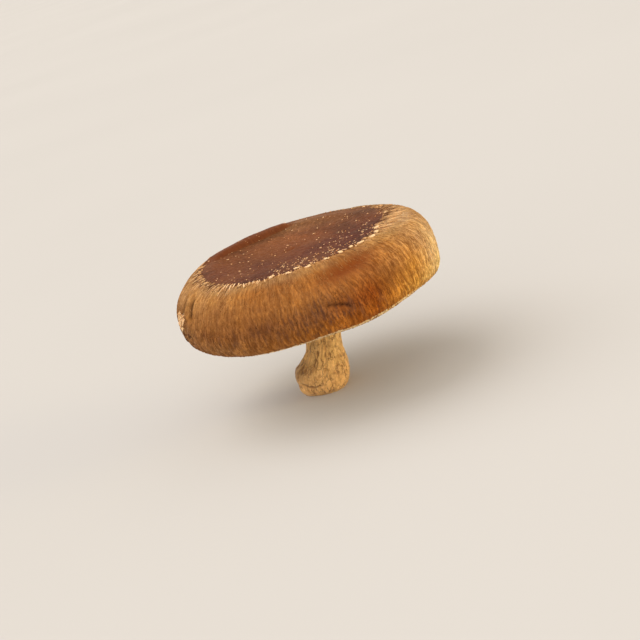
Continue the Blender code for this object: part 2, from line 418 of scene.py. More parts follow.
def rings_to_faces(counts, start=0, close_first=None, close_last=None):
    """Faces between rings of points; neighbours have equal, double or half the points."""
    quads, tris = [], []
    base = start
    offs = []
    for n in counts:
        offs.append(base)
        base += n
    for k in range(len(counts) - 1):
        n, m = counts[k], counts[k + 1]
        a, b = offs[k], offs[k + 1]
        if n == m:
            i = np.arange(n)
            j = (i + 1) % n
            quads.append(np.stack([a + i, b + i, b + j, a + j], 1))
        elif m == 2 * n:
            i = np.arange(n)
            j = (i + 1) % n
            f0, f1, f2 = b + 2 * i, b + 2 * i + 1, b + (2 * i + 2) % m
            tris.append(np.stack([a + i, f0, f1], 1))
            tris.append(np.stack([a + i, f1, a + j], 1))
            tris.append(np.stack([a + j, f1, f2], 1))
        elif n == 2 * m:
            i = np.arange(m)
            j = (i + 1) % m
            f0, f1, f2 = a + 2 * i, a + 2 * i + 1, a + (2 * i + 2) % n
            tris.append(np.stack([b + i, f1, f0], 1))
            tris.append(np.stack([b + i, b + j, f1], 1))
            tris.append(np.stack([b + j, f2, f1], 1))
        else:
            raise ValueError("rings must match, double or halve")
    if close_first is not None:
        n, a = counts[0], offs[0]
        i = np.arange(n)
        tris.append(np.stack([np.full(n, close_first), a + i, a + (i + 1) % n], 1))
    if close_last is not None:
        n, a = counts[-1], offs[-1]
        i = np.arange(n)
        tris.append(np.stack([np.full(n, close_last), a + (i + 1) % n, a + i], 1))
    return (np.concatenate(quads) if quads else None,
            np.concatenate(tris) if tris else None)


# -------------------------------------------------------------- shaders
class Shader:
    """Builds one procedural material."""

    def __init__(self, name):
        self.mat = bpy.data.materials.new(name)
        self.mat.use_nodes = True
        self.nt = self.mat.node_tree
        self.bsdf = self.nt.nodes["Principled BSDF"]

    def _put(self, socket, value):
        if isinstance(value, bpy.types.NodeSocket):
            self.nt.links.new(value, socket)
        elif value is not None:
            if hasattr(socket.default_value, "__len__") and not hasattr(value, "__len__"):
                value = [value] * len(socket.default_value)
            if hasattr(socket.default_value, "__len__") and len(socket.default_value) == 4 \
                    and len(value) == 3:
                value = (*value, 1.0)
            socket.default_value = value

    def set(self, **values):
        for key, value in values.items():
            self._put(self.bsdf.inputs[key.replace("_", " ")], value)

    def attr(self, name, out="Fac"):
        n = self.nt.nodes.new("ShaderNodeAttribute")
        n.attribute_name = name
        return n.outputs[out]

    def objpos(self):
        return self.nt.nodes.new("ShaderNodeTexCoord").outputs["Object"]

    def math(self, op, a, b=None, c=None, clamp=False):
        n = self.nt.nodes.new("ShaderNodeMath")
        n.operation, n.use_clamp = op, clamp
        for sock, v in zip(n.inputs, (a, b, c)):
            self._put(sock, v)
        return n.outputs[0]

    def vmul(self, vec, by):
        n = self.nt.nodes.new("ShaderNodeVectorMath")
        n.operation = "MULTIPLY"
        self._put(n.inputs[0], vec)
        self._put(n.inputs[1], by)
        return n.outputs[0]

    def vadd(self, vec, by):
        n = self.nt.nodes.new("ShaderNodeVectorMath")
        n.operation = "ADD"
        self._put(n.inputs[0], vec)
        self._put(n.inputs[1], by)
        return n.outputs[0]

    def noise(self, vec, detail=2.0, rough=0.5, distortion=0.0, out=0):
        n = self.nt.nodes.new("ShaderNodeTexNoise")
        n.inputs["Scale"].default_value = 1.0
        n.inputs["Detail"].default_value = detail
        n.inputs["Roughness"].default_value = rough
        n.inputs["Distortion"].default_value = distortion
        self._put(n.inputs["Vector"], vec)
        return n.outputs[out]

    def voronoi(self, vec, feature="F1", randomness=1.0, out="Distance"):
        n = self.nt.nodes.new("ShaderNodeTexVoronoi")
        n.feature = feature
        n.inputs["Scale"].default_value = 1.0
        n.inputs["Randomness"].default_value = randomness
        self._put(n.inputs["Vector"], vec)
        return n.outputs[out]

    def step(self, x, lo, hi, a=0.0, b=1.0):
        n = self.nt.nodes.new("ShaderNodeMapRange")
        n.interpolation_type = "SMOOTHSTEP"
        for key, v in (("Value", x), ("From Min", lo), ("From Max", hi), ("To Min", a),
                       ("To Max", b)):
            self._put(n.inputs[key], v)
        return n.outputs[0]

    def mix(self, fac, a, b, mode="MIX"):
        n = self.nt.nodes.new("ShaderNodeMix")
        n.data_type, n.blend_type = "RGBA", mode
        self._put(n.inputs[0], fac)
        self._put(n.inputs[6], a)
        self._put(n.inputs[7], b)
        return n.outputs[2]

    def mixf(self, fac, a, b):
        n = self.nt.nodes.new("ShaderNodeMix")
        self._put(n.inputs[0], fac)
        self._put(n.inputs[2], a)
        self._put(n.inputs[3], b)
        return n.outputs[0]

    def ramp(self, fac, stops):
        n = self.nt.nodes.new("ShaderNodeValToRGB")
        el = n.color_ramp.elements
        while len(el) > 1:
            el.remove(el[-1])
        for k, (pos, col) in enumerate(stops):
            e = el[0] if k == 0 else el.new(pos)
            e.position = pos
            e.color = (*col, 1.0)
        self._put(n.inputs[0], fac)
        return n.outputs[0]

    def bump(self, height, distance_mm, strength=1.0, normal=None):
        n = self.nt.nodes.new("ShaderNodeBump")
        n.inputs["Distance"].default_value = distance_mm * MM
        n.inputs["Strength"].default_value = strength
        self._put(n.inputs["Height"], height)
        if normal is not None:
            self.nt.links.new(normal, n.inputs["Normal"])
        return n.outputs[0]


def cap_material():
    m = Shader("cap_skin_fibrous")
    fib = m.attr("fib", "Vector")                 # (round, round, along) in mm
    pos = m.vmul(m.objpos(), (1000, 1000, 1000))  # plain mm
    edge, cream = m.attr("edge"), m.attr("cream")
    dent_rub_and_shade, gold = m.attr("dent"), m.attr("mott")
    band_col, disc_col = m.attr("col_band", "Color"), m.attr("col_disc", "Color")

    # fibres that run down the side: the strands of the mesh, then finer ones
    wav = m.noise(m.vmul(fib, (0.24, 0.24, 0.20)), 2, 0.5, out=1)
    wav = m.vmul(m.vadd(wav, (-0.5, -0.5, -0.5)), (1.6, 1.6, 0.0))
    fibw = m.vadd(fib, wav)
    f_wide = m.noise(m.vmul(fibw, (0.55, 0.55, 0.11)), 2, 0.55)
    f_mid = m.noise(m.vmul(fibw, (2.2, 2.2, 0.55)), 2, 0.6)
    f_fine = m.noise(m.vmul(fibw, (4.4, 4.4, 1.3)), 2, 0.6)
    f_hair = m.noise(m.vmul(fibw, (9.5, 9.5, 0.9)), 1, 0.5)
    hair = m.math("MULTIPLY_ADD", m.attr("hair"), 0.5, 0.5)
    crisp = m.attr("crisp")

    # the dark skin of the top
    d_wide = m.noise(m.vadd(m.vmul(pos, (0.055, 0.055, 0.055)), (0.0, 0.7, 0.0)), 2, 0.5)
    d_mid = m.noise(m.vmul(pos, (0.65, 0.65, 0.65)), 3, 0.6)
    d_fine = m.noise(m.vmul(pos, (3.2, 3.2, 3.2)), 3, 0.62)

    # ragged line between them
    jag = m.math("MULTIPLY", m.math("SUBTRACT", f_mid, 0.5), 1.9)
    jag2 = m.math("MULTIPLY", m.math("SUBTRACT", f_fine, 0.5), 1.5)
    line = m.math("ADD", m.math("ADD", edge, jag), jag2)
    in_disc = m.step(line, -0.16, 0.20)

    # band colour: pale strands over darker skin
    speck = m.noise(m.vmul(pos, (2.0, 2.0, 2.0)), 2, 0.6)
    streak = m.math("ADD", m.math("ADD", m.math("MULTIPLY", hair, 0.34), m.math("MULTIPLY", speck, 0.30)),
                    m.math("ADD", m.math("MULTIPLY", f_mid, 0.08),
                           m.math("MULTIPLY", f_fine, 0.28)))
    streak = m.math("MULTIPLY_ADD", m.math("SUBTRACT", streak, 0.5), crisp, 0.5)
    shade = m.ramp(streak, [(0.26, (0.52, 0.44, 0.36)), (0.40, (0.76, 0.70, 0.62)),
                            (0.50, (1.00, 1.00, 1.00)), (0.61, (1.42, 1.50, 1.62)),
                            (0.76, (1.85, 2.05, 2.40))])
    band = m.mix(1.0, band_col, shade, "MULTIPLY")
    broad = m.ramp(f_wide, [(0.32, (0.72, 0.68, 0.66)), (0.50, (1.0, 1.0, 1.0)), (0.68, (1.25, 1.24, 1.12))])
    band = m.mix(0.45, band, m.mix(1.0, band, broad, "MULTIPLY"))
    patch = m.noise(m.vmul(fibw, (0.10, 0.10, 0.09)), 3, 0.6)
    warm = m.ramp(patch, [(0.34, (0.78, 0.75, 0.82)), (0.50, (1.0, 1.0, 1.0)), (0.66, (1.14, 1.10, 0.94))])
    band = m.mix(1.0, band, warm, "MULTIPLY")
    # dark streaks low on the front
    spots = m.noise(m.vmul(fibw, (0.85, 0.85, 0.17)), 3, 0.65)
    spots = m.math("MULTIPLY", m.step(spots, 0.46, 0.64), gold)
    band = m.mix(m.math("MULTIPLY", spots, 0.70), band, srgb(88, 58, 46))
    # the dent is smooth, bare and redder where the fibres are rubbed off, and painted darker as shade in its hollow
    band = m.mix(m.math("MULTIPLY", dent_rub_and_shade, 0.78), band, srgb(116, 54, 20))

    # disc colour: fine radial grain, broad tones
    rad = m.attr("ray", "Vector")
    d_ray = m.noise(m.vmul(rad, (1.5, 1.5, 0.28)), 3, 0.65)
    d_tone = m.math("ADD", m.math("MULTIPLY", d_mid, 0.30),
                    m.math("ADD", m.math("MULTIPLY", d_fine, 0.36), m.math("MULTIPLY", d_ray, 0.34)))
    dshade = m.ramp(d_tone, [(0.38, (0.58, 0.54, 0.52)), (0.50, (1.0, 1.0, 1.0)),
                             (0.60, (1.45, 1.50, 1.58))])
    disc = m.mix(1.0, disc_col, dshade, "MULTIPLY")
    disc = m.mix(m.step(d_wide, 0.46, 0.66, 0.0, 0.40), disc, srgb(118, 68, 32))
    disc = m.mix(m.step(d_wide, 0.50, 0.36, 0.0, 0.40), disc, srgb(64, 34, 15))
    # the raised lip at the far left is painted darker and redder: painted shade, where the lip catches no sheen
    disc = m.mix(m.attr("lip"), disc, m.mix(d_ray, srgb(84, 40, 22), srgb(122, 66, 34)))
    # a darker hem just inside the ragged line
    hem = m.math("MULTIPLY", m.step(line, 0.1, 0.7), m.step(line, 3.2, 0.9))
    disc = m.mix(m.math("MULTIPLY", hem, 0.36), disc, srgb(68, 35, 15))
    # pale grains in the skin
    grain = m.voronoi(m.vmul(pos, (0.62, 0.62, 0.62)))
    seed = m.voronoi(m.vmul(pos, (0.62, 0.62, 0.62)), out="Color")
    grain = m.math("MULTIPLY", m.step(grain, 0.20, 0.08), m.step(seed, 0.50, 0.58))
    disc = m.mix(m.math("MULTIPLY", grain, 0.50), disc, srgb(206, 156, 112))

    col = m.mix(in_disc, band, disc)
    # pale tips of the torn cuticle just outside the line
    tips = m.math("MULTIPLY", m.step(line, -3.4, -0.5), m.step(line, 0.15, -0.3))
    tips = m.math("MULTIPLY", tips, m.step(m.math("ADD", m.math("MULTIPLY", hair, 0.5), m.math("MULTIPLY", f_fine, 0.5)), 0.42, 0.66))
    col = m.mix(m.math("MULTIPLY", tips, 0.28), col, srgb(200, 156, 106))

    # the torn patch and the margin show flesh
    flesh = m.attr("flesh")
    cot = m.noise(m.vmul(pos, (1.3, 1.3, 1.3)), 4, 0.65)
    flesh_col = m.ramp(cot, [(0.30, srgb(186, 140, 84)), (0.48, srgb(226, 192, 138)),
                             (0.66, srgb(244, 224, 184))])
    on_cream = m.step(m.math("ADD", cream, m.math("MULTIPLY", m.math("SUBTRACT", f_mid, 0.5), 1.2)),
                      -0.22, 0.22)
    col = m.mix(on_cream, col, flesh_col)
    torn_col = m.ramp(cot, [(0.38, srgb(84, 48, 28)), (0.50, srgb(168, 118, 70)),
                            (0.62, srgb(236, 204, 156))])
    col = m.mix(flesh, col, torn_col)
    # dark ragged edge below the torn patch, and painted shade in the creases
    col = m.mix(m.attr("scar"), col, srgb(52, 26, 16))

    rough_band = m.step(streak, 0.3, 0.7, 0.66, 0.52)
    rough_disc = m.step(d_mid, 0.3, 0.7, 0.56, 0.44)
    rough = m.mixf(in_disc, rough_band, rough_disc)
    rough = m.mixf(m.math("MULTIPLY", dent_rub_and_shade, 0.7), rough, 0.46)
    rough = m.mixf(on_cream, rough, 0.85)

    h_band = m.math("ADD", m.math("MULTIPLY", f_mid, 0.45),
                    m.math("ADD", m.math("MULTIPLY", f_fine, 0.38), m.math("MULTIPLY", f_hair, 0.17)))
    h_disc = m.math("ADD", m.math("MULTIPLY", d_mid, 0.5), m.math("MULTIPLY", d_fine, 0.35))
    height = m.mixf(in_disc, h_band, h_disc)
    height = m.mixf(on_cream, height, cot)
    nrm = m.bump(height, 0.30, 0.55)
    m.set(Base_Color=col, Roughness=rough, Normal=nrm)
    m.set(Subsurface_Weight=0.06, Subsurface_Radius=(1.0, 0.45, 0.2), Subsurface_Scale=0.0012)
    m.set(Specular_IOR_Level=0.05)
    return m.mat


def shred_material(name, pale, mid, dark):
    """Torn strands and grains of the skin; tone 0 is dark, 1 is pale."""
    m = Shader(name)
    pos = m.vmul(m.objpos(), (1000, 1000, 1000))
    n = m.noise(m.vmul(pos, (1.7, 1.7, 1.7)), 3, 0.6)
    fine = m.noise(m.vmul(pos, (5.0, 5.0, 5.0)), 2, 0.6)
    tone = m.math("ADD", m.attr("tone"), m.math("MULTIPLY", m.math("SUBTRACT", n, 0.5), 0.5), clamp=True)
    col = m.ramp(tone, [(0.0, srgb(*dark)), (0.5, srgb(*mid)), (1.0, srgb(*pale))])
    col = m.mix(1.0, col, m.ramp(fine, [(0.3, (0.82, 0.80, 0.76)), (0.7, (1.12, 1.12, 1.12))]), "MULTIPLY")
    m.set(Base_Color=col, Roughness=m.step(n, 0.3, 0.7, 0.85, 0.7), Normal=m.bump(fine, 0.10, 0.5))
    m.set(Subsurface_Weight=0.12, Subsurface_Radius=(1.0, 0.6, 0.3), Subsurface_Scale=0.0005)
    m.set(Specular_IOR_Level=0.2)
    return m.mat


def strand_material():
    """Fibrils of the side, in the colour of the skin they lie on."""
    m = Shader("side_fibrils")
    pos = m.vmul(m.objpos(), (1000, 1000, 1000))
    n = m.noise(m.vmul(pos, (2.2, 2.2, 2.2)), 3, 0.6)
    col = m.mix(1.0, m.attr("col_strand", "Color"),
                m.ramp(n, [(0.3, (0.78, 0.74, 0.70)), (0.7, (1.20, 1.22, 1.26))]), "MULTIPLY")
    m.set(Base_Color=col, Roughness=m.step(n, 0.3, 0.7, 0.72, 0.56), Normal=m.bump(n, 0.08, 0.5))
    m.set(Specular_IOR_Level=0.12)
    return m.mat


def gill_material():
    m = Shader("gill_lamellae")
    g = m.attr("gill", "Vector")                  # (along the gill, down it, which)
    pos = m.vmul(m.objpos(), (1000, 1000, 1000))
    broad = m.noise(m.vmul(pos, (0.10, 0.10, 0.10)), 3, 0.55)
    fine = m.noise(m.vmul(g, (0.5, 3.2, 1.0)), 3, 0.6)
    down = m.attr("down")
    # lighter down the gill; the root, deep between the gills, is painted darker as shade
    col = m.ramp(down, [(0.0, srgb(214, 172, 116)), (0.45, srgb(238, 212, 164)),
                        (0.88, srgb(247, 230, 194)), (1.0, srgb(236, 202, 150))])
    tint = m.ramp(broad, [(0.34, (0.90, 0.84, 0.74)), (0.50, (1, 1, 1)), (0.66, (1.03, 1.03, 1.02))])
    col = m.mix(1.0, col, tint, "MULTIPLY")
    col = m.mix(m.step(fine, 0.52, 0.74, 0.0, 0.35), col, srgb(206, 160, 104))
    m.set(Base_Color=col, Roughness=m.step(fine, 0.3, 0.7, 0.72, 0.56),
          Normal=m.bump(fine, 0.08, 0.5))
    m.set(Subsurface_Weight=0.28, Subsurface_Radius=(1.0, 0.62, 0.34), Subsurface_Scale=0.0012)
    m.set(Sheen_Weight=0.1, Sheen_Roughness=0.5)
    return m.mat


def stem_material():
    m = Shader("stem_fibrous")
    fib = m.attr("fib", "Vector")
    pos = m.vmul(m.objpos(), (1000, 1000, 1000))
    base_col = m.attr("col_stem", "Color")
    f_wide = m.noise(m.vmul(fib, (0.5, 0.5, 0.14)), 3, 0.6, 0.3)
    f_mid = m.noise(m.vmul(fib, (1.6, 1.6, 0.55)), 3, 0.6, 0.6)
    f_fine = m.noise(m.vmul(fib, (4.2, 4.2, 1.5)), 2, 0.6)
    blot = m.noise(m.vmul(pos, (0.42, 0.42, 0.42)), 4, 0.65)
    tot = m.math("ADD", m.math("MULTIPLY", f_wide, 0.34),
                 m.math("ADD", m.math("MULTIPLY", f_mid, 0.36), m.math("MULTIPLY", f_fine, 0.30)))
    shade = m.ramp(tot, [(0.30, (0.46, 0.38, 0.30)), (0.43, (0.84, 0.80, 0.74)),
                         (0.54, (1.05, 1.05, 1.05)), (0.68, (1.50, 1.56, 1.7))])
    col = m.mix(1.0, base_col, shade, "MULTIPLY")
    col = m.mix(m.step(blot, 0.50, 0.66, 0.0, 0.45), col, srgb(158, 100, 44))
    pit_crease_shade = m.attr("pit")
    wob = m.noise(m.vmul(fib, (0.8, 0.8, 0.8)), 2, 0.5, out=1)
    cell = m.voronoi(m.vadd(m.vmul(fib, (0.50, 0.50, 0.27)), m.vmul(wob, (0.9, 0.9, 0.9))), "DISTANCE_TO_EDGE")
    where = m.noise(m.vmul(pos, (0.30, 0.30, 0.30)), 2, 0.5)
    rim_line = m.math("MULTIPLY", m.step(cell, 0.085, 0.015), m.step(where, 0.40, 0.56))
    col = m.mix(m.math("MULTIPLY", rim_line, 0.60), col, srgb(104, 60, 26))
    # the pits and creases are painted dark: painted shade
    col = m.mix(m.math("MULTIPLY", pit_crease_shade, 0.60, clamp=True), col, srgb(92, 52, 24))
    cut = m.attr("cut")
    cutn = m.noise(m.vmul(pos, (1.6, 1.6, 1.6)), 4, 0.65)
    cutc = m.ramp(cutn, [(0.32, srgb(150, 100, 54)), (0.48, srgb(214, 170, 110)),
                         (0.64, srgb(238, 208, 156))])
    col = m.mix(cut, col, cutc)
    height = m.math("ADD", m.math("MULTIPLY", f_mid, 0.5), m.math("MULTIPLY", f_fine, 0.5))
    height = m.math("SUBTRACT", height, m.math("MULTIPLY", rim_line, 0.5))
    m.set(Base_Color=col, Roughness=m.step(tot, 0.3, 0.7, 0.80, 0.60),
          Normal=m.bump(height, 0.30, 0.6))
    m.set(Subsurface_Weight=0.10, Subsurface_Radius=(1.0, 0.55, 0.28), Subsurface_Scale=0.0012)
    m.set(Sheen_Weight=0.2, Sheen_Roughness=0.5, Sheen_Tint=(1.0, 0.92, 0.80, 1.0))
    m.set(Specular_IOR_Level=0.35)
    return m.mat


def floor_material():
    m = Shader("pale_floor")
    pos = m.objpos()
    n = m.noise(m.vmul(pos, (2.0, 2.0, 2.0)), 2, 0.5)
    col = m.ramp(n, [(0.3, (0.545, 0.538, 0.545)), (0.7, (0.560, 0.553, 0.560))])
    m.set(Base_Color=col, Roughness=0.9, Specular_IOR_Level=0.1)
    return m.mat


# ------------------------------------------------------------ the cap
def anchor(th, s, rows):
    """Blend of anchor colours: rows of (s, [(bearing, srgb), ...])."""
    cols = []
    for s0, ring in rows:
        b = np.radians([q[0] for q in ring])
        c = np.array([srgb(*q[1]) for q in ring])
        b = np.concatenate([b - 2 * pi, b, b + 2 * pi])
        c = np.concatenate([c, c, c])
        t = (th + pi) % (2 * pi) - pi
        cols.append(np.stack([np.interp(t, b, c[:, k]) for k in range(3)], -1))
    ss = np.array([q[0] for q in rows])
    f = np.clip(np.interp(s, ss, np.arange(len(ss))), 0, len(ss) - 1 - 1e-9)
    i = f.astype(int)
    w = (f - i)[:, None]
    w = w * w * (3 - 2 * w)
    cols = np.array(cols)
    n = np.arange(len(th))
    return cols[i, n] * (1 - w) + cols[i + 1, n] * w


# The pale golden right end (bearings -40 and -18) is partly the skin's paler tone and partly painted warm light from
# the right.
BAND = [
    (44.5, [(-165, (158, 113, 66)), (-140, (171, 130, 83)), (-115, (147, 105, 63)), (-90, (160, 117, 72)),
            (-65, (142, 95, 52)), (-40, (159, 120, 74)), (-18, (174, 138, 100)), (60, (128, 98, 60)),
            (130, (134, 98, 58))]),
    (49.0, [(-165, (167, 123, 77)), (-140, (176, 124, 66)), (-115, (145, 92, 43)), (-90, (156, 102, 50)),
            (-65, (144, 88, 40)), (-40, (160, 114, 66)), (-18, (173, 133, 89)), (60, (146, 100, 54)),
            (130, (144, 98, 52))]),
    (56.0, [(-165, (129, 87, 47)), (-140, (152, 102, 54)), (-115, (155, 101, 50)), (-90, (158, 104, 54)),
            (-65, (148, 91, 43)), (-40, (166, 116, 63)), (-18, (186, 150, 106)), (60, (142, 96, 50)),
            (130, (140, 94, 48))]),
    (63.0, [(-165, (141, 102, 62)), (-140, (136, 87, 45)), (-115, (136, 86, 44)), (-90, (132, 84, 47)),
            (-65, (125, 63, 16)), (-40, (184, 128, 56)), (-18, (205, 172, 124)), (60, (134, 88, 44)),
            (130, (132, 84, 43))]),
    (70.0, [(-165, (134, 86, 48)), (-140, (148, 103, 60)), (-115, (141, 90, 43)), (-90, (153, 95, 38)),
            (-65, (152, 84, 23)), (-40, (190, 137, 60)), (-18, (215, 183, 122)), (60, (136, 90, 45)),
            (130, (132, 85, 43))]),
    (75.0, [(-165, (142, 94, 52)), (-115, (146, 95, 46)), (-90, (152, 94, 40)), (-65, (150, 88, 34)),
            (-40, (186, 128, 54)), (-18, (196, 144, 68)), (60, (140, 94, 48)), (130, (138, 90, 46))]),
]
DISC = [
    (0.0, [(-90, (103, 53, 24)), (90, (107, 57, 27))]),
    (18.0, [(-170, (88, 45, 22)), (-90, (89, 39, 18)), (-20, (82, 33, 12)), (90, (128, 75, 39))]),
    (32.0, [(-170, (104, 55, 28)), (-90, (73, 29, 12)), (-20, (84, 32, 13)), (90, (117, 79, 48)),
            (130, (103, 61, 33))]),
    (42.0, [(-170, (95, 51, 30)), (-90, (80, 39, 24)), (-20, (85, 45, 29)), (90, (126, 84, 49))]),
]


def front_mottle(th, s):
    """Where the side is darker and greyer, 0 to 1."""
    out = gauss(turn(th, -92) * 52, 24) * gauss(s - 64.5, 8.5)
    out = out + 0.9 * gauss(turn(th, -131) * 52, 7) * gauss(s - 66.5, 4.5) \
        + 0.8 * gauss(turn(th, -86) * 52, 6) * gauss(s - 60.5, 3.0)
    return np.clip(out + 0.35 * smooth(s, 60, 70) * (0.6 + 0.4 * around(th, 7, 0, 1, 81)), 0, 1)


def build_cap():
    plan = []                                     # (s, points in the ring)

    def span(a, b, step, n):
        k = max(1, int(round((b - a) / step)))
        plan.extend((a + (b - a) * (i + 1) / k, n) for i in range(k))

    plan.append((0.9, 32))
    span(0.9, 4.2, 0.66, 32)
    span(4.2, 8.0, 0.60, 64)
    span(8.0, 15.0, 0.56, 128)
    span(15.0, 24.0, 0.55, 256)
    span(24.0, 35.0, 0.52, 512)
    span(35.0, 45.0, 0.48, 1024)
    span(45.0, S_LOW, 0.74, 1024)
    span(S_LOW, S_ROLL, 0.85, 1024)
    span(S_ROLL, S_WALL - 0.3, 1.2, 512)
    span(S_WALL - 0.3, S_WALL + 8, 2.0, 256)
    span(S_WALL + 8, S_MID - 3, 3.5, 128)
    th = np.concatenate([np.arange(n) * 2 * pi / n for _, n in plan])
    s = np.concatenate([np.full(n, q) for q, n in plan])
    p, nrm, _, _ = surface_frame(cap_surface, th, s)
    co = p + nrm * cap_relief(p, th, s)[:, None]
    # the middle of the top and of the ceiling
    mid_top = co[:32].mean(0)
    mid_ceil = np.array([0, 0, HOLLOW_MID_Z])
    co = np.vstack([co, mid_top, mid_ceil])
    th = np.append(th, [0, 0])
    s = np.append(s, [0, S_MID])
    n_all = len(s)
    quads, tris = rings_to_faces([n for _, n in plan], 0, n_all - 2, n_all - 1)
    cth = comb(th, s)
    fib = np.stack([np.cos(cth) * 52, np.sin(cth) * 52, s], -1)
    ray = np.stack([np.cos(th) * 26, np.sin(th) * 26, s], -1)
    # lip: where the far-left lip is painted darker and redder, as painted shade
    lip = smooth(0.70 - np.abs(turn(th, 122)), 0, 0.16) * smooth(s, lip_foot(th) - 0.2, lip_foot(th) + 0.7) * 0.8
    # the creases are coloured dark: painted shade
    crease_shade = creases(th, s) * (0.9 + 0.4 * smooth(-th, 2.4, 2.6))
    mott = front_mottle(th, s)
    attrs = {
        "fib": fib, "edge": ragged_edge(th, s), "cream": cream_edge(th, s),
        "dent": np.clip(dent(th, s), 0, 1), "flesh": torn(th, s) * (s > 45),
        "scar": np.clip(scar(th, s) * 1.2 + crease_shade, 0, 1) * 0.9, "mott": mott,
        "hair": fibre_height(th, s), "crisp": crispness(th, s), "ray": ray, "lip": lip,
        "col_band": anchor(th, s, BAND), "col_disc": anchor(th, s, DISC),
    }
    return add_mesh("cap_flesh_and_skin", co, quads, tris, attrs, (AX, AY, 0), cap_material())


# ------------------------------------------------ flakes left by the veil
def build_flakes():
    """Small curled grains of torn cuticle on the dark top and along its line."""
    rng = np.random.default_rng(7)
    items = []                                    # bearing, s, length, width, lift, tone
    for _ in range(360):                          # along the ragged line
        t = rng.uniform(-pi, pi)
        front = float(hump(t, -72, 0.62))
        if rng.random() > 0.15 + 0.35 * front:
            continue
        s_line = float(disc_reach(np.array([t]))[0])
        size = rng.uniform(0.5, 1.0)
        items.append((t, s_line + rng.normal(-0.2, 0.9), size * rng.uniform(1.1, 1.9),
                      size * rng.uniform(0.55, 0.85), rng.uniform(0.15, 0.36), rng.uniform(0.45, 1.0)))
    for _ in range(2100):                         # over the top, thicker to the front and right
        r = 39.0 * np.sqrt(rng.random())
        t = rng.uniform(-pi, pi)
        near = float(hump(t, -62, 0.75)) * float(smooth(r, 12, 30))
        clump = float(smooth(fbm2(np.array(r * cos(t) / 6), np.array(r * sin(t) / 6), 131, 2), -0.05, 0.45))
        if rng.random() > (0.05 + 0.75 * near) * (0.25 + 0.9 * clump) + 0.02:
            continue
        size = rng.uniform(0.34, 0.70) * (1.0 + 0.25 * near)
        items.append((t, r, size * rng.uniform(0.9, 1.9), size * rng.uniform(0.55, 0.95),
                      rng.uniform(0.12, 0.28), rng.uniform(0.35, 1.0)))
    K = 7
    co, tris, tone = [], [], []
    th = np.array([i[0] for i in items])
    s = np.array([i[1] for i in items])
    p, n, d, r_ = surface_frame(cap_surface, th, s)
    p = p + n * cap_relief(p, th, s)[:, None]
    for k, (t, s0, ln, wd, lift, tn) in enumerate(items):
        yaw = rng.normal(0, 0.45)
        u = d[k] * cos(yaw) + r_[k] * sin(yaw)
        w = np.cross(n[k], u)
        base = len(co)
        ring_top, ring_bot = [], []
        curl = rng.uniform(0.1, 0.5) * lift
        for j in range(K):
            a = 2 * pi * j / K + rng.normal(0, 0.12)
            rad = rng.uniform(0.72, 1.12)
            x, y = cos(a) * rad * ln / 2, sin(a) * rad * wd / 2
            up = lift * (0.30 + 0.70 * (x / ln + 0.5)) * 0.55 + curl * (2 * y / wd) ** 2
            q = p[k] + u * x + w * y + n[k] * up
            ring_top.append(q)
            ring_bot.append(p[k] + u * x * 0.86 + w * y * 0.86 - n[k] * 0.12)
        mid_t = p[k] + n[k] * (lift * 0.85 + 0.02)
        mid_b = p[k] - n[k] * 0.22
        co += ring_top + ring_bot + [mid_t, mid_b]
        tone += [tn] * (2 * K + 2)
        for j in range(K):
            j2 = (j + 1) % K
            tris.append((base + j, base + j2, base + 2 * K))
            tris.append((base + K + j2, base + K + j, base + 2 * K + 1))
            tris.append((base + j, base + K + j, base + K + j2))
            tris.append((base + j, base + K + j2, base + j2))
    return add_mesh("cuticle_grains", np.array(co), None, np.array(tris), {"tone": np.array(tone)},
                    (AX, AY, 0), shred_material("cuticle_grain", (246, 206, 164), (206, 152, 106), (140, 88, 54)))


